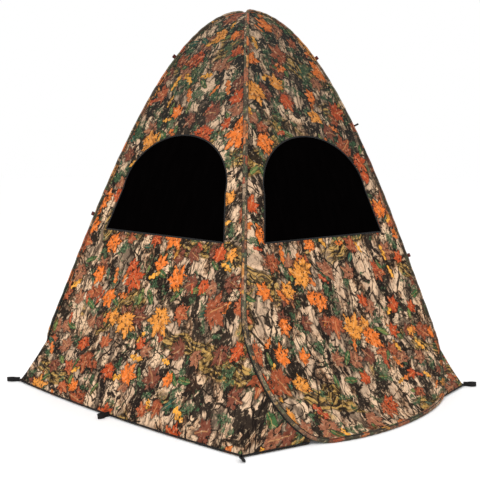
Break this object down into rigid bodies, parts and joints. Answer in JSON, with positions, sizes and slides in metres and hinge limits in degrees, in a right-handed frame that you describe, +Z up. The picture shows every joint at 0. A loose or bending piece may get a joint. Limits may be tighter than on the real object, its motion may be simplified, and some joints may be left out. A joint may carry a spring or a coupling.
{
  "type": "pop up ground blind",
  "caption": "Square pop up hunting blind on two spring wire hoops: four leaning camouflage fabric walls, arched mesh windows with inside covers, zipped door, webbing stake loops.",
  "frame": {"origin": "on the ground under the crown, at the centre of the footprint", "axes": "+Z up, -Y out of the front hoop's wall, -X out of the left wall, +Y out of the back wall with the door"},
  "size_m": [1.646, 1.798, 1.7],
  "materials": {
    "camo_fabric": "matt printed polyester, autumn leaf and branch camouflage outside, black inside",
    "sleeve_fabric": "matt printed polyester, the same print",
    "cover_fabric": "matt black coated polyester",
    "black_mesh": "black shoot-through mesh",
    "webbing": "black woven webbing",
    "brown_webbing": "dark red-brown woven webbing",
    "zip_tape": "black zip tape with moulded coil",
    "zip_metal": "cast zip slider metal, satin",
    "spring_steel": "spring steel wire, bright"
  },
  "bodies": {
    "root": {"front_hoop_ferrule": "spring_steel", "front_hoop_sleeve": "sleeve_fabric", "front_hoop_wire": "spring_steel", "front_left_stake_loop": "webbing", "front_right_stake_loop": "webbing", "front_seam_brush_loop_1": "brown_webbing", "front_wall": "camo_fabric", "front_window_mesh": "black_mesh", "front_window_zip": "zip_tape", "left_front_gusset_binding": "webbing", "left_hem_binding": "webbing", "left_middle_stake_loop": "webbing", "left_wall": "camo_fabric", "left_window_mesh": "black_mesh", "left_window_zip": "zip_tape", "right_front_gusset_binding": "webbing", "right_hem_binding": "webbing", "right_middle_stake_loop": "webbing", "right_seam_brush_loop_1": "brown_webbing", "right_seam_brush_loop_2": "brown_webbing", "right_seam_guy_loop": "webbing", "right_wall": "camo_fabric", "right_window_mesh": "black_mesh", "right_window_zip": "zip_tape"},
    "back_frame": {"back_hoop_ferrule": "spring_steel", "back_hoop_sleeve": "sleeve_fabric", "back_hoop_wire": "spring_steel", "back_left_stake_loop": "webbing", "back_right_stake_loop": "webbing", "back_seam_brush_loop_1": "brown_webbing", "back_wall": "camo_fabric", "door_zip": "zip_tape", "left_back_gusset_binding": "webbing", "left_seam_brush_loop_1": "brown_webbing", "left_seam_brush_loop_2": "brown_webbing", "right_back_gusset_binding": "webbing"},
    "front_cover": {"front_window_cover": "cover_fabric"},
    "front_slider": {"front_zip_slider": "zip_metal"},
    "front_pull": {"front_zip_pull": "zip_metal"},
    "left_cover": {"left_window_cover": "cover_fabric"},
    "left_slider": {"left_zip_slider": "zip_metal"},
    "left_pull": {"left_zip_pull": "zip_metal"},
    "right_cover": {"right_window_cover": "cover_fabric"},
    "right_slider": {"right_zip_slider": "zip_metal"},
    "right_pull": {"right_zip_pull": "zip_metal"},
    "door": {"door_flap": "camo_fabric"},
    "door_upper_slider": {"door_upper_slider": "zip_metal"},
    "door_upper_pull": {"door_upper_pull": "zip_metal"},
    "door_lower_slider": {"door_lower_slider": "zip_metal"},
    "door_lower_pull": {"door_lower_pull": "zip_metal"}
  },
  "joints": [
    {"name": "frame_fold", "type": "hinge", "parent": "root", "child": "back_frame", "pos_m": [0, 0, 1.691], "axis": [-1, 0, 0], "range_deg": [0, 42], "stiffness_Nm_per_rad": 30, "springref_deg": -68.75, "deforming": ["left_wall", "left_window_mesh", "left_window_zip", "left_hem_binding", "left_window_cover", "left_zip_slider", "left_zip_pull", "left_middle_stake_loop", "right_wall", "right_window_mesh", "right_window_zip", "right_hem_binding", "right_window_cover", "right_zip_slider", "right_zip_pull", "right_middle_stake_loop"]},
    {"name": "front_cover_swing", "type": "hinge", "parent": "root", "child": "front_cover", "pos_m": [0, -0.4833, 0.71849], "axis": [1, 0, 0], "range_deg": [-10, 160]},
    {"name": "front_slider_travel", "type": "slide", "parent": "root", "child": "front_slider", "axis": [-0.2707, 0.2757, 0.9223], "range_m": [0, 0.15]},
    {"name": "front_pull_swing", "type": "hinge", "parent": "front_slider", "child": "front_pull", "pos_m": [0.37172, -0.47362, 0.74169], "axis": [1, 0, 0], "range_deg": [-10, 120]},
    {"name": "left_cover_swing", "type": "hinge", "parent": "root", "child": "left_cover", "pos_m": [-0.4833, 0, 0.71849], "axis": [0, -1, 0], "range_deg": [-10, 160]},
    {"name": "left_slider_travel", "type": "slide", "parent": "root", "child": "left_slider", "axis": [0.2757, 0.2707, 0.9223], "range_m": [0, 0.15]},
    {"name": "left_pull_swing", "type": "hinge", "parent": "left_slider", "child": "left_pull", "pos_m": [-0.47362, -0.37172, 0.74169], "axis": [0, -1, 0], "range_deg": [-10, 120]},
    {"name": "right_cover_swing", "type": "hinge", "parent": "root", "child": "right_cover", "pos_m": [0.4833, 0, 0.71849], "axis": [0, 1, 0], "range_deg": [-10, 160]},
    {"name": "right_slider_travel", "type": "slide", "parent": "root", "child": "right_slider", "axis": [-0.2757, -0.2707, 0.9223], "range_m": [0, 0.15]},
    {"name": "right_pull_swing", "type": "hinge", "parent": "right_slider", "child": "right_pull", "pos_m": [0.47362, 0.37172, 0.74169], "axis": [0, 1, 0], "range_deg": [-10, 120]},
    {"name": "door_swing", "type": "hinge", "parent": "back_frame", "child": "door", "pos_m": [-0.272, 0.67216, 0.22032], "axis": [0, -0.3242, 0.946], "range_deg": [0, 105]},
    {"name": "door_upper_slider_travel", "type": "slide", "parent": "back_frame", "child": "door_upper_slider", "axis": [0, -0.278, 0.9606], "range_m": [0, 0.12]},
    {"name": "door_upper_pull_swing", "type": "hinge", "parent": "door_upper_slider", "child": "door_upper_pull", "pos_m": [0.2855, 0.52297, 0.64653], "axis": [1, 0, 0], "range_deg": [0, 120]},
    {"name": "door_lower_slider_travel", "type": "slide", "parent": "back_frame", "child": "door_lower_slider", "axis": [0, 0.2787, -0.9604], "range_m": [0, 0.057]},
    {"name": "door_lower_pull_swing", "type": "hinge", "parent": "door_lower_slider", "child": "door_lower_pull", "pos_m": [0.2855, 0.53094, 0.61202], "axis": [1, 0, 0], "range_deg": [0, 120]}
  ]
}
